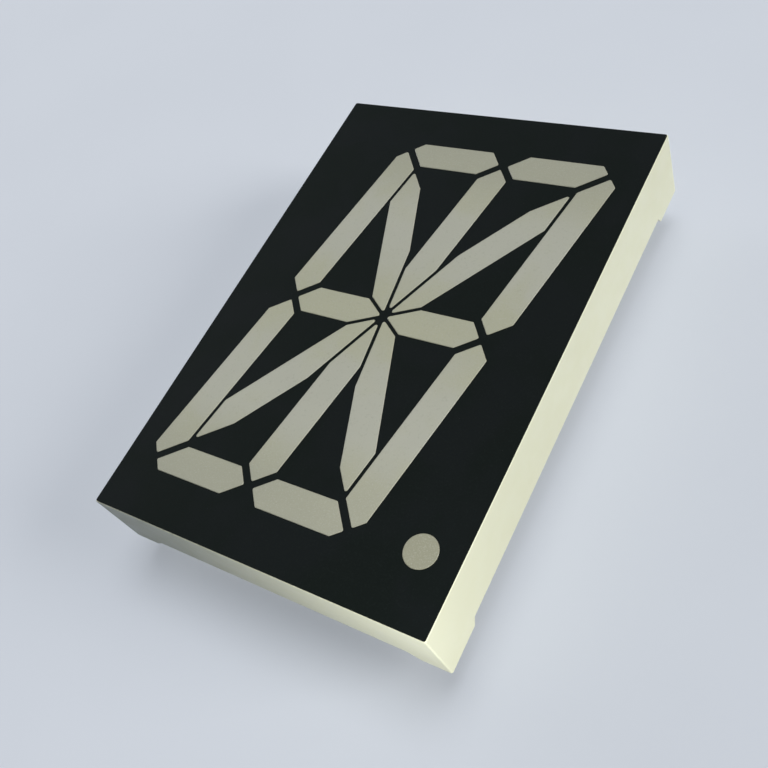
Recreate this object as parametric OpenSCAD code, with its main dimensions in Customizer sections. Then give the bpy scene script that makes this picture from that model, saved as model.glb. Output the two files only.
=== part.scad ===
// Sixteen-segment LED display: one slanted character and a decimal point, on two rows of pins.
// X runs across the face, Y up the character and Z out of the face.
// The origin is the middle of the seating plane, on which the four corner feet stand.
//
// How it goes together: a white moulded housing holds one tapered light well for each segment.
// A black film with the segment windows covers its front up to the rounded edge. A circuit
// board with the light emitting dice closes the wells from behind, each well is cast full of
// milky resin, and the rear pocket is potted round the pins.
//
// Segments are lettered clockwise: a1 a2 b c d2 d1 e f round the outside, g1 g2 across the
// middle, and h i j k l m round the star from its upper left arm.

/* [Housing] */
// Width across the face
body_w = 48; // [44:0.5:60]
// Height along the character
body_h = 70; // [60:0.5:90]
// Depth from the seating plane to the face
body_d = 10; // [8.6:0.1:14]
// Thickness of the side walls
wall = 1.4; // [1:0.1:1.8]
// Radius of the upright corners
corner_r = 0.25; // [0.2:0.05:1.2]
// Radius of the edge round the face
edge_r = 0.1; // [0.05:0.05:0.2]
// Thickness of the front web that the windows pass through
web_t = 1.2; // [0.8:0.1:2]
// Thickness of the walls between a light well and a cored pocket
core_wall = 0.9; // [0.6:0.05:1.2]
// Width of the ledge that the board's edge sits on
board_ledge = 0.8; // [0.5:0.1:1.2]

/* [Feet] */
// Height of the corner feet above the rim
foot_h = 1.15; // [0.6:0.05:1.5]
// Length of a foot along the short sides
foot_w = 3.9; // [2.5:0.1:6]
// Length of a foot along the long sides
foot_l = 5.7; // [3:0.1:9]
// Slope of a foot's end on the short sides, over its height
foot_flare_w = 1.5; // [0:0.1:2.5]
// Slope of a foot's end on the long sides, over its height
foot_flare_l = 0.65; // [0:0.05:2]

/* [Face film] */
// Thickness of the black film
film_t = 0.1; // [0.05:0.01:0.2]

/* [Character] */
// Distance between the character's outer edges and the short sides of the body
digit_margin = 6.5; // [6:0.1:10]
// Lean of the upright bars, in degrees
slant = 10; // [6:0.5:12]
// Width of every bar
stroke = 4.1; // [3.4:0.1:4.4]
// Distance between an outer upright's middle and the long side of the body
upright_margin = 9.83; // [9.2:0.01:11]
// Direction of the mitre cuts at the joints, in degrees
mitre = 40; // [35:1:45]
// Dark gap across a mitre
mitre_gap = 0.95; // [0.6:0.05:1.2]
// Dark gap along the arms of the star
star_gap = 0.44; // [0.3:0.02:0.7]
// Share of the angle beside a middle upright that the upright takes
middle_share = 0.58; // [0.5:0.01:0.64]
// Length cut from each outer edge at the blunt outside corners
blunt_cut = 2.9; // [2:0.1:3.4]
// Length cut from each outer edge at the sharp outside corners
sharp_cut = 3.3; // [2.4:0.1:3.8]
// Radius of the window corners
window_r = 0.22; // [0.1:0.02:0.3]
// Diameter of the decimal point
point_d = 4.1; // [3:0.1:4.4]
// Distance between the decimal point's centre and the long side of the body
point_margin = 4.9; // [4.4:0.1:6]

/* [Light wells] */
// How far each side of a well comes in on its way to the board
well_taper = 0.55; // [0.2:0.05:0.7]
// Clearance between the cast resin and the housing
cast_gap = 0.02; // [0.01:0.01:0.05]
// How far the resin stands above the film
resin_proud = 0.05; // [0.02:0.01:0.1]
// Bevel round the edge of the resin
resin_bevel = 0.06; // [0.02:0.01:0.1]

/* [Circuit board] */
// Distance from the seating plane to the board's front
board_z = 4.6; // [4.2:0.1:5]
// Thickness of the board
board_t = 1.6; // [1:0.1:1.8]
// Clearance round the board's edge
board_gap = 0.15; // [0.05:0.05:0.3]
// Thickness of the potting behind the board
potting_t = 1.3; // [1:0.1:1.6]

/* [Pins] */
// Distance between neighbouring pins
pin_pitch = 2.54; // [2:0.01:2.6]
// Distance between a row of pins and the short side of the body
row_margin = 4.52; // [4:0.01:5]
// Diameter of a pin's lead
pin_d = 0.5; // [0.4:0.01:0.6]
// Length of the lead below the seating plane
pin_l = 4.5; // [2.5:0.1:8]
// Length of the cone at the tip
pin_tip = 0.2; // [0.1:0.05:0.4]
// Diameter of the collar that stops a pin at the board
collar_d = 1.1; // [1:0.05:1.4]
// Thickness of the resin skin over the collars
collar_cover = 0.08; // [0.04:0.01:0.09]
// Width of the square shank that passes through the board
shank_w = 0.55; // [0.45:0.05:0.6]
// Diameter of the board's plated holes
hole_d = 0.9; // [0.88:0.01:1]

/* [Solder] */
// Diameter of a solder fillet on the board
solder_d = 1.5; // [1.2:0.1:1.7]
// Height of a solder fillet
solder_h = 0.5; // [0.3:0.05:0.8]
// How far a shank stands out of its fillet
shank_out = 0.1; // [0.05:0.05:0.3]
// Room round the fillets in the housing
channel_gap = 0.3; // [0.2:0.05:0.35]

/* [Light emitting dice] */
// Thickness of the copper pads on the board
pad_t = 0.035; // [0.018:0.001:0.07]
// Margin of a pad round its die
pad_margin = 0.12; // [0.05:0.01:0.2]
// Length of the pad that a bond wire ends on
bond_pad_l = 0.4; // [0.2:0.05:0.4]
// Width of a die
die_w = 0.35; // [0.25:0.05:0.5]
// Height of a die
die_h = 0.2; // [0.1:0.05:0.3]
// Diameter of a bond wire
wire_d = 0.03; // [0.02:0.01:0.05]
// Span of a bond wire from the die to its pad
wire_span = 0.8; // [0.7:0.05:1.2]
// Room left in the resin round a die and its wire
relief_gap = 0.3; // [0.2:0.05:0.4]

/* [Hidden] */
$fn = 64;
arc_steps = 3; // straight pieces in each rounded window corner
past = 0.1; // how far a cutting shape reaches past a face
strip_min = 1.5; // narrowest end of a cored strip beside the character

film_z = body_d - film_t;
web_z = film_z - web_t;
board_back = board_z - board_t;
potting_z = board_back - potting_t;
pocket_w = body_w - 2 * wall;
pocket_h = body_h - 2 * wall;
digit_h = body_h - 2 * digit_margin;
column_pitch = body_w / 2 - upright_margin;
row_pitch = body_h - 2 * row_margin;
collar_h = potting_t - collar_cover;
shank_top = solder_h + shank_out;
pad_w = die_w + 2 * pad_margin;
chip_z = board_z + pad_t;
solder_top_d = shank_w * sqrt(2) + 0.05; // just wide enough to close round the square shank

half = stroke / 2;
row = (digit_h - stroke) / 2;
top_bar = [0, row];
core_back = half + core_wall;
star_back = star_gap / 2;
mitre_back = mitre_gap / 2;

// Joint of the bars' centre lines: column -1, 0 or 1 and line -1, 0 or 1
function joint(column, line) = [column * column_pitch + line * row * tan(slant), line * row];
centre = joint(0, 0);
top_left = joint(-1, 1);
top_middle = joint(0, 1);
top_right = joint(1, 1);
middle_left = joint(-1, 0);
middle_right = joint(1, 0);

// Directions of the star's arms and of the cuts between them
upright = 90 - slant;
left_arm = atan2(top_left.y, top_left.x);
right_arm = atan2(top_right.y, top_right.x);
cut_gj = right_arm / 2;
cut_ji = upright - middle_share * (upright - right_arm);
cut_ih = upright + middle_share * (left_arm - upright);
cut_hg = (left_arm + 180) / 2;

// Outlines are lists of sides, counterclockwise. A side is [the direction it faces, its
// distance from the origin that way], so moving it in or out keeps its direction.
function facing(angle) = [cos(angle), sin(angle)];
function side(through, angle, back = 0) = [angle, through * facing(angle) - back];
function moved_in(s, by) = [s[0], s[1] - by];
function meeting(s, t) =
    let (turn = sin(t[0] - s[0]))
    [s[1] * sin(t[0]) - t[1] * sin(s[0]), t[1] * cos(s[0]) - s[1] * cos(t[0])] / turn;
function half_turned(sides) = [for (s = sides) [s[0] + 180, s[1]]];

// Points of an outline with its corners rounded to radius r
function outline(sides, inset = 0, r = window_r) = [
    for (i = [0 : len(sides) - 1])
        let (s = sides[i], t = sides[(i + 1) % len(sides)])
        let (middle = meeting(moved_in(s, inset + r), moved_in(t, inset + r)))
        let (turn = (t[0] - s[0] + 720) % 360)
        for (step = [0 : arc_steps]) middle + r * facing(s[0] + turn * step / arc_steps)
];

// Sides that several bars share
bar_top = side(top_bar, 90, -half);
bar_under = side(top_bar, 270, -half);
blunt_corner = meeting(side(top_left, 90, -half), side(top_left, 180 - slant, -half));
sharp_corner = meeting(side(top_right, -slant, -half), side(top_right, 90, -half));
blunt_chamfer = side(blunt_corner, mitre + 90, blunt_cut * sin(mitre));
sharp_chamfer = side(sharp_corner, mitre, sharp_cut * cos(mitre));

sides_a1 = [
    side(top_middle, mitre, mitre_back),
    bar_top,
    blunt_chamfer,
    side(top_left, mitre + 180, mitre_back),
    bar_under,
    side(top_middle, mitre + 270, mitre_back)
];
sides_a2 = [
    sharp_chamfer,
    bar_top,
    side(top_middle, mitre + 90, mitre_back),
    side(top_middle, mitre + 180, mitre_back),
    bar_under,
    side(top_right, mitre + 270, mitre_back)
];
sides_b = [
    side(top_right, -slant, -half),
    sharp_chamfer,
    side(top_right, mitre + 90, mitre_back),
    side(top_right, 180 - slant, -half),
    side(middle_right, mitre + 180, mitre_back),
    side(middle_right, mitre + 270, mitre_back)
];
sides_f = [
    side(top_left, -slant, -half),
    side(top_left, mitre, mitre_back),
    blunt_chamfer,
    side(top_left, 180 - slant, -half),
    side(middle_left, mitre + 180, mitre_back),
    side(middle_left, mitre + 270, mitre_back)
];
sides_g1 = [
    side(centre, cut_gj - 90, star_back),
    side(centre, cut_hg - 90, star_back),
    side(centre, 90, -half),
    side(middle_left, mitre + 90, mitre_back),
    side(middle_left, mitre + 180, mitre_back),
    side(centre, 270, -half)
];
sides_h = [
    side(centre, cut_ih - 90, star_back),
    side(centre, left_arm - 90, -half),
    side(top_left, mitre, mitre_back),
    side(top_left, 180 - slant, half + star_gap),
    side(centre, left_arm + 90, -half),
    side(centre, cut_hg + 90, star_back)
];
sides_i = [
    side(centre, cut_ji - 90, star_back),
    side(centre, -slant, -half),
    side(top_middle, mitre, mitre_back),
    side(top_middle, mitre + 90, mitre_back),
    side(centre, 180 - slant, -half),
    side(centre, cut_ih + 90, star_back)
];
sides_j = [
    side(centre, cut_gj - 90, star_back),
    side(centre, right_arm - 90, -half),
    side(top_right, -slant, half + star_gap),
    side(top_right, mitre + 90, mitre_back),
    side(centre, right_arm + 90, -half),
    side(centre, cut_ji + 90, star_back)
];

// Each segment: its letter, the joints it runs between, its outline, and where along it the
// dice sit. The lower half of the character is the upper half turned half round.
along_bar = [0.3, 0.7];
along_arm = [0.42, 0.7];
UPPER = [
    ["a1", top_left, top_middle, sides_a1, along_bar],
    ["a2", top_middle, top_right, sides_a2, along_bar],
    ["b", middle_right, top_right, sides_b, along_bar],
    ["f", middle_left, top_left, sides_f, along_bar],
    ["g1", centre, middle_left, sides_g1, along_bar],
    ["h", centre, top_left, sides_h, along_arm],
    ["i", centre, top_middle, sides_i, along_arm],
    ["j", centre, top_right, sides_j, along_arm]
];
LOWER = ["d2", "d1", "e", "c", "g2", "k", "l", "m"];
SEGMENTS = concat(
    UPPER,
    [for (i = [0 : len(UPPER) - 1])
        let (s = UPPER[i])
        [LOWER[i], -s[1], -s[2], half_turned(s[3]), s[4]]]
);
point_at = [body_w / 2 - point_margin, -row];

// Cored pockets of the housing: four triangles between the arms of the upper half, two strips
// beside the character, and the same turned half round
strip_x = pocket_w / 2 - board_ledge;
strip_high = row - point_d / 2 - core_wall;
bar_edge_x = column_pitch + core_back / cos(slant);
strip_low = min(strip_high, (strip_x - bar_edge_x - strip_min) / tan(slant));
UPPER_CORES = [
    [side(centre, -slant, core_back), side(top_bar, 90, core_back),
        side(centre, left_arm + 90, core_back)],
    [side(centre, left_arm - 90, core_back), side(top_left, 180 - slant, core_back),
        side(centre, 270, core_back)],
    [side(centre, right_arm - 90, core_back), side(top_bar, 90, core_back),
        side(centre, 180 - slant, core_back)],
    [side(top_right, -slant, core_back), side(centre, right_arm + 90, core_back),
        side(centre, 270, core_back)],
    [side(middle_left, -slant, core_back), [90, strip_high], [180, strip_x], [270, -core_wall / 2]],
    [side(middle_left, -slant, core_back), [90, -core_wall / 2], [180, strip_x], [270, strip_low]]
];
CORES = concat(UPPER_CORES, [for (c = UPPER_CORES) half_turned(c)]);
core_r = 0.6; // radius of the pockets' corners, where they are widest

// One pin for each segment, one for the decimal point and one they share. Pins are numbered
// counterclockwise as seen from the face, from the lower left.
pin_count = len(SEGMENTS) + 2;
pins_per_row = pin_count / 2;
function row_x(i) = (i - (pins_per_row - 1) / 2) * pin_pitch;
function pin_at(n) =
    n <= pins_per_row
        ? [row_x(n - 1), -row_pitch / 2]
        : [row_x(pin_count - n), row_pitch / 2];

// Dice: place on the board and direction of the bar they light
function dice_of(s) = [for (share = s[4]) [s[1] + share * (s[2] - s[1]), direction(s)]];
function direction(s) = let (run = s[2] - s[1]) atan2(run.y, run.x);
POINT_DICE = [[point_at, 0]];
EVERY_DIE = concat([for (s = SEGMENTS) each dice_of(s)], POINT_DICE);

// Solid through outlines stacked as rings of [height, inset]
module stacked(sides, rings, r = window_r) {
    points = [for (ring = rings) for (p = outline(sides, ring[1], r)) [p.x, p.y, ring[0]]];
    n = len(sides) * (arc_steps + 1);
    last = (len(rings) - 1) * n;
    bottom = [for (i = [0 : n - 1]) i];
    top = [for (i = [n - 1 : -1 : 0]) last + i];
    walls = [for (k = [0 : len(rings) - 2]) for (i = [0 : n - 1])
        let (low = k * n, next = (i + 1) % n)
        [low + i, low + n + i, low + n + next, low + next]];
    polyhedron(points, concat([bottom, top], walls));
}

module rounded_rectangle(w, h, r) {
    square([w - 2 * r, h], center = true);
    square([w, h - 2 * r], center = true);
    for (x = [-1, 1], y = [-1, 1])
        translate([x * (w / 2 - r), y * (h / 2 - r)]) circle(r);
}

module slot(length, width) {
    square([length - width, width], center = true);
    for (x = [-1, 1]) translate([x * (length - width) / 2, 0]) circle(d = width);
}

// Section of the outer block from its middle to one side, with the rounded front edge
function front_edge(reach) = [
    for (step = [0 : 4]) [reach - edge_r, film_z - edge_r] + edge_r * facing(90 * step / 4)
];
function half_section(reach) = concat([[0, 0], [reach, 0]], front_edge(reach), [[0, film_z]]);

module edge_to_edge(reach, length) {
    rotate([90, 0, 90])
        for (turn = [0, 1])
            mirror([turn, 0, 0])
                linear_extrude(length, center = true) polygon(half_section(reach));
}

module outer_block() {
    edge_to_edge(body_h / 2, body_w - 2 * corner_r);
    rotate([0, 0, 90]) edge_to_edge(body_w / 2, body_h - 2 * corner_r);
    for (x = [-1, 1], y = [-1, 1])
        translate([x * (body_w / 2 - corner_r), y * (body_h / 2 - corner_r), 0])
            rotate_extrude() polygon(half_section(corner_r));
}

// Space between two feet, cut through both opposite walls
module foot_notch(between, flare, through) {
    reach = between / 2;
    rotate([90, 0, 90])
        linear_extrude(through + 2 * past, center = true)
            polygon([
                [-reach, -past], [reach, -past], [reach, 0], [reach - flare, foot_h],
                [flare - reach, foot_h], [-reach, 0]
            ]);
}

module point_well() {
    translate([point_at.x, point_at.y, 0]) {
        translate([0, 0, board_z - past])
            cylinder(web_z - board_z + past, point_d / 2 - well_taper, point_d / 2);
        translate([0, 0, web_z]) cylinder(film_t + web_t, d = point_d);
    }
}

module solder_channels() {
    for (y = [-1, 1])
        translate([0, y * row_pitch / 2, board_z - past])
            linear_extrude(shank_top + channel_gap + past)
                slot(
                    (pins_per_row - 1) * pin_pitch + solder_d + 2 * channel_gap,
                    solder_d + 2 * channel_gap
                );
}

module housing() {
    color("ivory") difference() {
        outer_block();
        translate([0, 0, -past])
            linear_extrude(board_z + past) rounded_rectangle(pocket_w, pocket_h, corner_r);
        foot_notch(body_h - 2 * foot_l, foot_flare_l, body_w);
        rotate([0, 0, 90]) foot_notch(body_w - 2 * foot_w, foot_flare_w, body_h);
        for (s = SEGMENTS)
            stacked(s[3], [[board_z - past, well_taper], [web_z, 0], [film_z + past, 0]]);
        point_well();
        for (c = CORES)
            stacked(c, [[board_z - past, -well_taper], [web_z, 0]], core_r);
        solder_channels();
    }
}

module face_film() {
    color("#1f2323") translate([0, 0, film_z]) linear_extrude(film_t) difference() {
        rounded_rectangle(body_w - 2 * edge_r, body_h - 2 * edge_r, corner_r);
        for (s = SEGMENTS) polygon(outline(s[3]));
        translate(point_at) circle(d = point_d);
    }
}

// Room in the resin over a die and the loop of its wire
module die_relief(die) {
    length = wire_span + die_w / 2 + 2 * relief_gap;
    height = pad_t + die_h + wire_span / 2 + relief_gap;
    translate([die[0].x, die[0].y, board_z])
        rotate([0, 0, die[1]])
            translate([-die_w / 2 - relief_gap, -die_w / 2 - relief_gap, -past])
                cube([length, die_w + 2 * relief_gap, height + past]);
}

module segment(s) {
    color("#b0b0a2") difference() {
        stacked(s[3], [
            [board_z, well_taper + cast_gap],
            [web_z, cast_gap],
            [body_d, cast_gap],
            [body_d + resin_proud, cast_gap + resin_bevel]
        ]);
        for (die = dice_of(s)) die_relief(die);
    }
}

module decimal_point() {
    r = point_d / 2 - cast_gap;
    color("#b0b0a2") difference() {
        translate([point_at.x, point_at.y, 0]) {
            translate([0, 0, board_z]) cylinder(web_z - board_z, r - well_taper, r);
            translate([0, 0, web_z]) cylinder(body_d - web_z, r, r);
            translate([0, 0, body_d]) cylinder(resin_proud, r, r - resin_bevel);
        }
        for (die = POINT_DICE) die_relief(die);
    }
}

module circuit_board() {
    color("#c9bd8f") translate([0, 0, board_back]) linear_extrude(board_t) difference() {
        rounded_rectangle(pocket_w - 2 * board_gap, pocket_h - 2 * board_gap, corner_r);
        for (n = [1 : pin_count]) translate(pin_at(n)) circle(d = hole_d);
    }
}

module potting() {
    color("#d9d6c6") difference() {
        translate([0, 0, potting_z])
            linear_extrude(potting_t)
                rounded_rectangle(pocket_w - 2 * cast_gap, pocket_h - 2 * cast_gap, corner_r);
        for (n = [1 : pin_count])
            translate(pin_at(n)) {
                translate([0, 0, board_back - collar_h - cast_gap])
                    cylinder(collar_h + cast_gap + past, d = collar_d + 2 * cast_gap);
                translate([0, 0, potting_z - past])
                    cylinder(potting_t, d = pin_d + 2 * cast_gap);
            }
    }
}

module pin(n) {
    color("silver") translate(pin_at(n)) {
        translate([0, 0, -pin_l]) cylinder(pin_tip, pin_d / 4, pin_d / 2);
        translate([0, 0, pin_tip - pin_l])
            cylinder(board_back - collar_h + pin_l - pin_tip, d = pin_d);
        translate([0, 0, board_back - collar_h]) cylinder(collar_h, d = collar_d);
        translate([-shank_w / 2, -shank_w / 2, board_back])
            cube([shank_w, shank_w, board_t + shank_top]);
    }
}

// Solder fills each plated hole and rises in a fillet round the shank
module solder_joints() {
    color("gainsboro") for (n = [1 : pin_count])
        translate(pin_at(n)) difference() {
            union() {
                translate([0, 0, board_back]) cylinder(board_t, d = hole_d);
                translate([0, 0, board_z]) cylinder(solder_h, d1 = solder_d, d2 = solder_top_d);
            }
            translate([-shank_w / 2, -shank_w / 2, board_back - past])
                cube([shank_w, shank_w, board_t + shank_top + past]);
        }
}

module dice(places) {
    color("goldenrod") for (die = places)
        translate([die[0].x, die[0].y, chip_z + die_h / 2])
            rotate([0, 0, die[1]]) cube([die_w, die_w, die_h], center = true);
}

// A loop from the top of a die down to its bond pad
module bond_wire() {
    loop_r = wire_span / 2;
    translate([loop_r, 0, die_h])
        rotate([90, 0, 0])
            rotate_extrude(angle = 180) translate([loop_r, 0]) circle(d = wire_d);
    translate([wire_span, 0, 0]) cylinder(die_h, d = wire_d);
}

module bond_wires() {
    color("gold") for (die = EVERY_DIE)
        translate([die[0].x, die[0].y, chip_z]) rotate([0, 0, die[1]]) bond_wire();
}

// A square pad under each die and another under the far end of its wire, all inside the wells
module pads_under(places) {
    for (die = places)
        translate([die[0].x, die[0].y, board_z])
            rotate([0, 0, die[1]])
                linear_extrude(pad_t) {
                    square(pad_w, center = true);
                    translate([wire_span, 0]) square([bond_pad_l, pad_w], center = true);
                }
}

module pads() {
    color("goldenrod") {
        for (s = SEGMENTS) intersection() {
            pads_under(dice_of(s));
            translate([0, 0, board_z])
                linear_extrude(pad_t) polygon(outline(s[3], well_taper + cast_gap));
        }
        pads_under(POINT_DICE);
    }
}

housing();
face_film();
circuit_board();
potting();
solder_joints();
pads();
bond_wires();
for (s = SEGMENTS) {
    segment(s);
    dice(dice_of(s));
}
decimal_point();
dice(POINT_DICE);  // dice_point
for (n = [1 : pin_count])
    pin(n);
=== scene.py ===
"""Looks of the sixteen-segment display: materials, edges of sealing resin, light and camera."""

import math

import bmesh
import bpy
from mathutils import Matrix, Vector


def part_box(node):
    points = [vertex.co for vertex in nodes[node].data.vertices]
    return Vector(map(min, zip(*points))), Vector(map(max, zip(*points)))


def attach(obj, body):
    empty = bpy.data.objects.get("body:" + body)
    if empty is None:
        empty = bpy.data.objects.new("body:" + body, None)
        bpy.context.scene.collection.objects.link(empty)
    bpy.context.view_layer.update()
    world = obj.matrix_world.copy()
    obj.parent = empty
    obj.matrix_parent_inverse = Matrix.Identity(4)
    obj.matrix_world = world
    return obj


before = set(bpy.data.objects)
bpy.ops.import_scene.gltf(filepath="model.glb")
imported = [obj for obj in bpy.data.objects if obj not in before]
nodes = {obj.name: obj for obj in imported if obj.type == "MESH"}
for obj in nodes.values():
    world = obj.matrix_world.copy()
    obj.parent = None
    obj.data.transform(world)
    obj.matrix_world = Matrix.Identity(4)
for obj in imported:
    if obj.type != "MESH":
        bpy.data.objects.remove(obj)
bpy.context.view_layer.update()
MM = 0.001


# ---------------------------------------------------------------- materials

# Sockets of a mix node that stand for colours
MIX_A, MIX_B, MIX_RESULT = 6, 7, 2
CLOTH_PITCH = (0.5, 0.6)  # of the laminate's threads along X and Y, in millimetres


class Finish:
    """A Principled material whose patterns lie in the part's own frame, in millimetres."""

    def __init__(self, name, **sockets):
        self.material = bpy.data.materials.new(name)
        self.material.use_nodes = True
        self.tree = self.material.node_tree
        self.shader = self.tree.nodes["Principled BSDF"]
        for socket, value in sockets.items():
            self.shader.inputs[socket.replace("_", " ")].default_value = value
        self.place = self.tree.nodes.new("ShaderNodeTexCoord").outputs["Object"]
        self.bumps = None

    def node(self, kind, inputs=None, **settings):
        made = self.tree.nodes.new(kind)
        for key, value in settings.items():
            setattr(made, key, value)
        for key, value in (inputs or {}).items():
            if isinstance(value, bpy.types.NodeSocket):
                self.tree.links.new(value, made.inputs[key])
            else:
                made.inputs[key].default_value = value
        return made

    def in_mm(self, stretch=(1, 1, 1)):
        scale = [s / MM for s in stretch]
        return self.node("ShaderNodeMapping", {"Vector": self.place, "Scale": scale}).outputs[0]

    def noise(self, size, detail=2.0, stretch=(1, 1, 1), warp=0.0):
        """Smooth blotches about size millimetres across, centred on 0.5."""
        return self.node("ShaderNodeTexNoise", {
            "Vector": self.in_mm(stretch), "Scale": 1 / size, "Detail": detail,
            "Roughness": 0.5, "Distortion": warp}).outputs["Fac"]

    def cells(self, size):
        """Distance to scattered points that lie about size millimetres apart."""
        return self.node("ShaderNodeTexVoronoi", {
            "Vector": self.in_mm(), "Scale": 1 / size}).outputs["Distance"]

    def remap(self, value, low, high, to_low=0.0, to_high=1.0):
        """A soft step from to_low to to_high while the value goes from low to high."""
        return self.node("ShaderNodeMapRange", {
            "Value": value, "From Min": low, "From Max": high,
            "To Min": to_low, "To Max": to_high}, interpolation_type="SMOOTHSTEP").outputs[0]

    def maths(self, operation, a, b=0.0, c=0.0):
        return self.node("ShaderNodeMath", {0: a, 1: b, 2: c}, operation=operation).outputs[0]

    def axis(self, name):
        """Place along X, Y or Z in millimetres."""
        parts = self.node("ShaderNodeSeparateXYZ", {0: self.in_mm()})
        return parts.outputs[name]

    def mixed(self, share, a, b):
        """Colour a, with that share of colour b in it."""
        mix = self.node("ShaderNodeMix", {"Factor": share}, data_type="RGBA")
        for socket, value in ((mix.inputs[MIX_A], a), (mix.inputs[MIX_B], b)):
            if isinstance(value, bpy.types.NodeSocket):
                self.tree.links.new(value, socket)
            else:
                socket.default_value = (*value, 1)
        return mix.outputs[MIX_RESULT]

    def colour(self, value):
        self.tree.links.new(value, self.shader.inputs["Base Color"])

    def roughness(self, value):
        self.tree.links.new(value, self.shader.inputs["Roughness"])

    def relief(self, height, depth):
        """Bumps of depth millimetres, laid over those already there."""
        inputs = {"Height": height, "Distance": depth * MM, "Strength": 1.0}
        if self.bumps is not None:
            inputs["Normal"] = self.bumps
        self.bumps = self.node("ShaderNodeBump", inputs).outputs[0]
        self.tree.links.new(self.bumps, self.shader.inputs["Normal"])


def ivory_moulding():
    """Satin ivory polyester, faintly mottled, with fine drag marks from the mould."""
    f = Finish("ivory_moulding", Specular_IOR_Level=0.4)
    cloud = f.noise(9, detail=3)
    fine = f.noise(0.5, detail=2)
    drag = f.noise(0.35, detail=2, stretch=(1, 1, 0.12))
    base = f.mixed(f.remap(cloud, 0.3, 0.7), (0.785, 0.800, 0.605), (0.765, 0.775, 0.578))
    base = f.mixed(f.remap(fine, 0.62, 0.78, 0, 0.2), base, (0.71, 0.70, 0.52))
    f.colour(base)
    f.roughness(f.remap(f.noise(2.2), 0.3, 0.7, 0.36, 0.5))
    f.relief(drag, 0.006)
    f.relief(f.noise(0.12), 0.003)
    return f.material


def black_film():
    """Matt black screen print: uneven tint, fine grain and a few pale specks."""
    f = Finish("black_film", Specular_IOR_Level=0.05)
    cloud = f.noise(11, detail=2, warp=0.6)
    grain = f.noise(0.22, detail=2)
    tint = f.remap(cloud, 0.38, 0.62)
    base = f.mixed(tint, (0.0036, 0.0060, 0.0050), (0.0048, 0.0068, 0.0068))
    base = f.mixed(f.remap(grain, 0.45, 0.8, 0, 0.5), base, (0.010, 0.0135, 0.0125))
    speck = f.cells(1.7)
    base = f.mixed(f.remap(speck, 0.022, 0.03, 0.4, 0), base, (0.05, 0.055, 0.05))
    f.colour(base)
    f.roughness(f.remap(grain, 0.3, 0.7, 0.5, 0.66))
    f.relief(grain, 0.004)
    f.relief(f.noise(3.5, detail=1), 0.01)
    return f.material


def milky_resin(bar_row, depth=0.0):
    """Cast epoxy with white diffuser: warmer in the rows of level bars, deeper at both ends.

    bar_row is the distance between rows of level bars, and depth the share of a deeper tone.
    """
    f = Finish("milky_resin", Specular_IOR_Level=0.42)
    up = f.axis("Y")
    rows = f.maths("COSINE", f.maths("MULTIPLY", up, math.tau / bar_row))
    cloud = f.noise(4.5, detail=3, warp=0.4)
    warmth = f.maths("MULTIPLY_ADD", cloud, 1.6, f.maths("MULTIPLY", rows, 0.5))
    base = f.mixed(f.remap(warmth, 0.25, 1.4), (0.400, 0.402, 0.335), (0.374, 0.374, 0.270))
    ends = f.remap(f.maths("ABSOLUTE", up), 0.6 * bar_row, 1.05 * bar_row, 0, 0.85)
    base = f.mixed(ends, base, (0.325, 0.325, 0.252))
    base = f.mixed(depth, base, (0.235, 0.230, 0.150))
    pearl = f.noise(0.16, detail=2)
    base = f.mixed(f.remap(pearl, 0.5, 0.75, 0, 0.5), base, (0.43, 0.43, 0.36))
    base = f.mixed(f.remap(f.noise(0.3, detail=1), 0.25, 0.4, 0.35, 0), base, (0.30, 0.30, 0.24))
    f.colour(base)
    f.roughness(f.remap(cloud, 0.3, 0.7, 0.34, 0.5))
    f.relief(pearl, 0.002)
    f.relief(f.noise(2.0, detail=1), 0.015)
    return f.material


def potting_resin():
    """Clear-to-cream sealing resin: glossy, gently uneven, with small bubbles under its skin."""
    f = Finish("potting_resin", Specular_IOR_Level=0.5)
    cloud = f.noise(9, detail=2, warp=0.3)
    base = f.mixed(f.remap(cloud, 0.3, 0.7), (0.66, 0.635, 0.52), (0.70, 0.68, 0.575))
    bubbles = f.cells(2.3)
    base = f.mixed(f.remap(bubbles, 0.05, 0.08, 0.55, 0), base, (0.45, 0.42, 0.31))
    fine = f.cells(0.8)
    base = f.mixed(f.remap(fine, 0.05, 0.09, 0.35, 0), base, (0.78, 0.77, 0.70))
    f.colour(base)
    f.roughness(f.remap(f.noise(3, detail=1), 0.3, 0.7, 0.2, 0.27))
    f.relief(f.remap(bubbles, 0.02, 0.09, 0, 1), 0.04)
    f.relief(f.noise(5, detail=2), 0.12)
    return f.material


def laminate():
    """Bare paper-and-glass laminate: tan, with the weave of its cloth."""
    f = Finish("laminate", Specular_IOR_Level=0.4)
    warp = f.maths("SINE", f.maths("MULTIPLY", f.axis("X"), math.tau / CLOTH_PITCH[0]))
    weft = f.maths("SINE", f.maths("MULTIPLY", f.axis("Y"), math.tau / CLOTH_PITCH[1]))
    weave = f.maths("MULTIPLY", warp, weft)
    base = f.mixed(f.remap(weave, -1, 1), (0.50, 0.42, 0.20), (0.60, 0.52, 0.28))
    base = f.mixed(f.remap(f.noise(6), 0.35, 0.65, 0, 0.4), base, (0.46, 0.41, 0.23))
    f.colour(base)
    f.roughness(f.remap(weave, -1, 1, 0.42, 0.55))
    f.relief(weave, 0.004)
    return f.material


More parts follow.
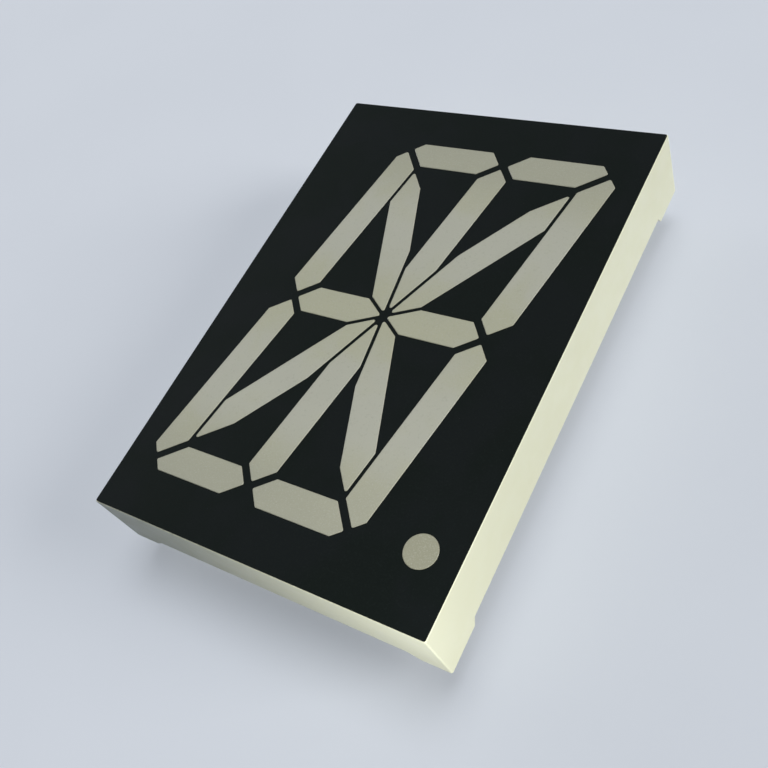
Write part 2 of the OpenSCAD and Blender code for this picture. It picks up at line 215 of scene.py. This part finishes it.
def tinned_metal():
    """Dull tin over drawn wire: streaks along the pin and small flow marks."""
    f = Finish("tinned_metal", Metallic=1.0)
    streak = f.noise(0.12, detail=3, stretch=(1, 1, 0.08))
    flow = f.noise(0.5, detail=2)
    base = f.mixed(f.remap(streak, 0.3, 0.7), (0.60, 0.60, 0.585), (0.76, 0.76, 0.75))
    base = f.mixed(f.remap(flow, 0.55, 0.75, 0, 0.4), base, (0.48, 0.475, 0.45))
    f.colour(base)
    f.roughness(f.remap(streak, 0.3, 0.7, 0.24, 0.42))
    f.relief(streak, 0.003)
    f.relief(flow, 0.006)
    return f.material


def solder_metal():
    """Bright solder, slightly grained where it froze last."""
    f = Finish("solder_metal", Metallic=1.0)
    grain = f.noise(0.14, detail=3)
    f.colour(f.mixed(f.remap(grain, 0.35, 0.65), (0.56, 0.56, 0.57), (0.71, 0.71, 0.72)))
    f.roughness(f.remap(grain, 0.3, 0.7, 0.2, 0.4))
    f.relief(grain, 0.004)
    return f.material


def gold_wire():
    """Gold on wires and pads, faintly streaked."""
    f = Finish("gold_wire", Metallic=1.0)
    drawn = f.noise(0.02, detail=2)
    f.colour(f.mixed(drawn, (0.83, 0.59, 0.20), (0.92, 0.72, 0.34)))
    f.roughness(f.remap(drawn, 0.3, 0.7, 0.2, 0.34))
    return f.material


def die_crystal():
    """Sawn crystal: dark amber, with saw lines down its sides."""
    f = Finish("die_crystal", Specular_IOR_Level=0.7)
    saw = f.noise(0.02, detail=2, stretch=(0.3, 0.3, 1))
    f.colour(f.mixed(f.remap(saw, 0.3, 0.7), (0.40, 0.22, 0.045), (0.60, 0.40, 0.10)))
    f.roughness(f.remap(saw, 0.3, 0.7, 0.2, 0.5))
    f.relief(saw, 0.002)
    return f.material


low_bar, high_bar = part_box("segment_d1")[0].y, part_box("segment_a1")[1].y
stroke = (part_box("segment_a1")[1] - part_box("segment_a1")[0]).y
bar_row = (high_bar - low_bar - stroke) / 2 / MM
finishes = {
    "housing": ivory_moulding(),
    "face_film": black_film(),
    "segment": milky_resin(bar_row),
    "potting": potting_resin(),
    "circuit_board": laminate(),
    "pin": tinned_metal(),
    "solder_joints": solder_metal(),
    "pads": gold_wire(),
    "bond_wires": gold_wire(),
    "dice": die_crystal(),
    "decimal_point": milky_resin(bar_row, depth=0.6),
}
for name, thing in nodes.items():
    finish = finishes.get(name) or finishes[name.split("_")[0]]
    for place in thing.material_slots:
        place.material = finish


# ---------------------------------------------------------------- edges of sealing resin

CLING = 0.01 * MM  # how far a wetted edge reaches into what it clings to
PIN_RISE = 0.34 * MM
PIN_SPREAD = 0.62 * MM
WALL_RISE = 0.32 * MM
WALL_SPREAD = 0.55 * MM
LEAD_RADIUS = 0.25 * MM
CAST_GAP = 0.02 * MM  # between the potting and the housing
BODY_CORNER = 0.25 * MM
TIGHTEST_CORNER = 0.02 * MM
UNEVEN = 0.12  # share by which the edges round the pins differ from their mean size
UNEVEN_X, UNEVEN_Y = 5.1, 2.3  # radians that the difference runs on for each millimetre
CURVE_STEPS = 7
TURN_STEPS = 32
CORNER_STEPS = 6


def wetting_curve(rise, spread):
    """Points (out over the resin, up the wetted wall) of a hollow fillet, from wall to resin."""
    turns = [math.pi / 2 * i / CURVE_STEPS for i in range(CURVE_STEPS + 1)]
    return [(spread * (1 - math.cos(a)), rise * (1 - math.sin(a))) for a in turns]


def add_piece(name, mesh):
    """Turn the mesh into a smooth object that rides with the part."""
    for face in mesh.faces:
        face.smooth = True
    bmesh.ops.recalc_face_normals(mesh, faces=mesh.faces)
    data = bpy.data.meshes.new(name)
    mesh.to_mesh(data)
    mesh.free()
    piece = bpy.data.objects.new(name, data)
    bpy.context.scene.collection.objects.link(piece)
    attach(piece, "root")
    return piece


def closed_band(mesh, rings):
    """Faces between neighbouring rings, the last joined to the first, each ring closed."""
    made = [[mesh.verts.new(p) for p in ring] for ring in rings]
    for a, b in zip(made, made[1:] + made[:1]):
        for i in range(len(a)):
            j = (i + 1) % len(a)
            mesh.faces.new((a[i], a[j], b[j], b[i]))


def resin_round_pins(skin_z):
    """A hollow fillet round each lead, standing on the potting's face at skin_z."""
    mesh = bmesh.new()
    for name in nodes:
        if not name.startswith("pin_"):
            continue
        low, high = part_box(name)
        middle = (low + high) / 2
        grown = 1 + UNEVEN * math.sin(UNEVEN_X * middle.x / MM + UNEVEN_Y * middle.y / MM)
        curve = wetting_curve(PIN_RISE * grown, PIN_SPREAD * grown)
        section = [
            (LEAD_RADIUS - CLING, -CLING),
            (LEAD_RADIUS - CLING, curve[0][1]),
            *((LEAD_RADIUS + out, up) for out, up in curve[1:]),
            (LEAD_RADIUS + curve[-1][0], -CLING),
        ]
        closed_band(mesh, [[
            (middle.x + r * math.cos(math.tau * k / TURN_STEPS),
             middle.y + r * math.sin(math.tau * k / TURN_STEPS), skin_z - up)
            for k in range(TURN_STEPS)] for r, up in section])
    return add_piece("resin_round_pins", mesh)


def pocket_ring(inset, z, half_x, half_y, corner):
    """Ring along the rear pocket's wall, inset from it, with its corners kept round."""
    r = max(corner - inset, TIGHTEST_CORNER)
    ring = []
    for quarter, (sx, sy) in enumerate(((1, 1), (-1, 1), (-1, -1), (1, -1))):
        cx, cy = sx * (half_x - inset - r), sy * (half_y - inset - r)
        for step in range(CORNER_STEPS + 1):
            a = math.pi / 2 * (quarter + step / CORNER_STEPS)
            ring.append((cx + r * math.cos(a), cy + r * math.sin(a), z))
    return ring


def resin_along_walls(skin_z, half_x, half_y, corner):
    """A hollow fillet all along the rear pocket's wall."""
    mesh = bmesh.new()
    curve = wetting_curve(WALL_RISE, WALL_SPREAD)
    section = [(-CLING, -CLING), (-CLING, curve[0][1]), *curve[1:], (curve[-1][0], -CLING)]
    closed_band(mesh, [
        pocket_ring(out, skin_z - up, half_x, half_y, corner) for out, up in section])
    return add_piece("resin_along_walls", mesh)


skin_low, skin_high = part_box("potting")
resin_pieces = [
    resin_round_pins(skin_low.z),
    resin_along_walls(
        skin_low.z, skin_high.x + CAST_GAP, skin_high.y + CAST_GAP, BODY_CORNER),
]
for piece in resin_pieces:
    piece.data.materials.append(finishes["potting"])


# ---------------------------------------------------------------- stage

FLOOR_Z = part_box("pin_1")[0].z
FLOOR_REACH = 6.0
PALE_SKY = (0.80, 0.86, 0.95, 1)
SKY_LIT = 0.10  # strength of the sky as light
SKY_SEEN = 0.75  # strength of the sky as background
FLOOR_GLOW = 0.31  # brings the seen floor up to the seen sky


def seen_rays(tree):
    """1 on rays from the camera, straight or by way of gloss or glass, and 0 on light's rays."""
    path = tree.nodes.new("ShaderNodeLightPath")
    seen = path.outputs["Is Camera Ray"]
    for way in ("Is Glossy Ray", "Is Transmission Ray"):
        either = tree.nodes.new("ShaderNodeMath")
        either.operation = "MAXIMUM"
        tree.links.new(seen, either.inputs[0])
        tree.links.new(path.outputs[way], either.inputs[1])
        seen = either.outputs[0]
    return seen


def floor_paper():
    """Matt pale paper, seen brighter than the light it gives back, and clear from below."""
    f = Finish("floor_paper", Roughness=1.0, Specular_IOR_Level=0.0)
    seen = seen_rays(f.tree)
    pale = f.mixed(f.remap(f.noise(30), 0.3, 0.7), (0.42, 0.44, 0.48), (0.41, 0.43, 0.47))
    f.colour(f.mixed(seen, (0.10, 0.125, 0.18), pale))
    glow = f.node("ShaderNodeEmission", {
        "Color": PALE_SKY, "Strength": f.maths("MULTIPLY", seen, FLOOR_GLOW)})
    lifted = f.node("ShaderNodeAddShader", {0: f.shader.outputs[0], 1: glow.outputs[0]})
    clear = f.node("ShaderNodeBsdfTransparent")
    sided = f.node("ShaderNodeMixShader", {
        0: f.node("ShaderNodeNewGeometry").outputs["Backfacing"],
        1: lifted.outputs[0], 2: clear.outputs[0]})
    f.tree.links.new(sided.outputs[0], f.tree.nodes["Material Output"].inputs["Surface"])
    return f.material


floor_mesh = bpy.data.meshes.new("floor")
floor_corners = [
    (x * FLOOR_REACH, y * FLOOR_REACH, FLOOR_Z) for x, y in ((-1, -1), (1, -1), (1, 1), (-1, 1))]
floor_mesh.from_pydata(floor_corners, [], [(0, 1, 2, 3)])
floor = bpy.data.objects.new("floor", floor_mesh)
bpy.context.scene.collection.objects.link(floor)
floor_mesh.materials.append(floor_paper())

world = bpy.data.worlds.new("studio")
world.use_nodes = True
sky = world.node_tree
light_sky = sky.nodes["Background"]
light_sky.inputs["Color"].default_value = PALE_SKY
light_sky.inputs["Strength"].default_value = SKY_LIT
seen_sky = sky.nodes.new("ShaderNodeBackground")
seen_sky.inputs["Color"].default_value = PALE_SKY
seen_sky.inputs["Strength"].default_value = SKY_SEEN
whole_sky = sky.nodes.new("ShaderNodeMixShader")
sky.links.new(seen_rays(sky), whole_sky.inputs[0])
sky.links.new(light_sky.outputs[0], whole_sky.inputs[1])
sky.links.new(seen_sky.outputs[0], whole_sky.inputs[2])
sky.links.new(whole_sky.outputs[0], sky.nodes["World Output"].inputs["Surface"])
bpy.context.scene.world = world


PLAIN = math.pi  # energy of a sun that shows a facing colour as it is written


def lamp(name, kind, energy, colour, at, aim=(0, 0, 0)):
    made = bpy.data.objects.new(name, bpy.data.lights.new(name, kind))
    made.data.energy = energy
    made.data.color = colour
    made.location = at
    made.rotation_euler = (Vector(aim) - Vector(at)).to_track_quat("-Z", "Y").to_euler()
    made.visible_camera = False
    bpy.context.scene.collection.objects.link(made)
    return made


def sun(name, level, colour, at, width):
    """A sun at a share of the plain level, shining from at to the origin."""
    made = lamp(name, "SUN", level * PLAIN, colour, at)
    made.data.angle = width
    return made


sun("top_sun", 0.47, (0.97, 0.985, 1.0), (0.02, 0.10, 0.36), 0.6)
sun("side_sun", 0.75, (1.0, 0.985, 0.94), (0.30, 0.09, 0.12), 0.5)
sun("fill_sun", 0.26, (0.97, 0.985, 1.0), (-0.30, 0.07, 0.08), 0.6)
corner_spot = lamp(
    "corner_spot", "SPOT", 0.072, (1.0, 0.99, 0.97),
    at=(0.037, -0.070, 0.024), aim=(0.022, -0.035, 0.006))
corner_spot.data.spot_size = math.radians(80)
corner_spot.data.spot_blend = 1.0
corner_spot.data.shadow_soft_size = 0.008
corner_spot.visible_glossy = False  # no glint of it on the segments
rear_sun = sun("rear_sun", 0.38, (0.98, 0.99, 1.0), (-0.06, 0.22, -0.32), 0.6)
whole = bpy.data.collections.new("whole_object")
for thing in [*nodes.values(), *resin_pieces]:
    whole.objects.link(thing)
corner_spot.light_linking.receiver_collection = whole  # the floor stays even
rear_sun.light_linking.receiver_collection = whole
rear_sun.light_linking.blocker_collection = whole  # it comes up through the floor


# ---------------------------------------------------------------- camera

LENS_MM = 44.96
SENSOR_MM = 36.0
NEAREST = 0.005
CAMERA_AT = Vector((0.06259, -0.05091, 0.09850))
CAMERA_LOOKS = Vector((-0.50713, 0.36899, -0.77889))
CAMERA_UP = Vector((-0.2314, 0.81225, 0.53545))

ahead = CAMERA_LOOKS.normalized()
right = ahead.cross(CAMERA_UP).normalized()
above = right.cross(ahead)
camera = bpy.data.objects.new("camera", bpy.data.cameras.new("camera"))
camera.data.lens = LENS_MM
camera.data.sensor_width = SENSOR_MM
camera.data.clip_start = NEAREST
turned = Matrix((right, above, -ahead)).transposed().to_4x4()
camera.matrix_world = Matrix.Translation(CAMERA_AT) @ turned
bpy.context.scene.collection.objects.link(camera)
bpy.context.scene.camera = camera
bpy.context.scene.view_settings.view_transform = "Standard"
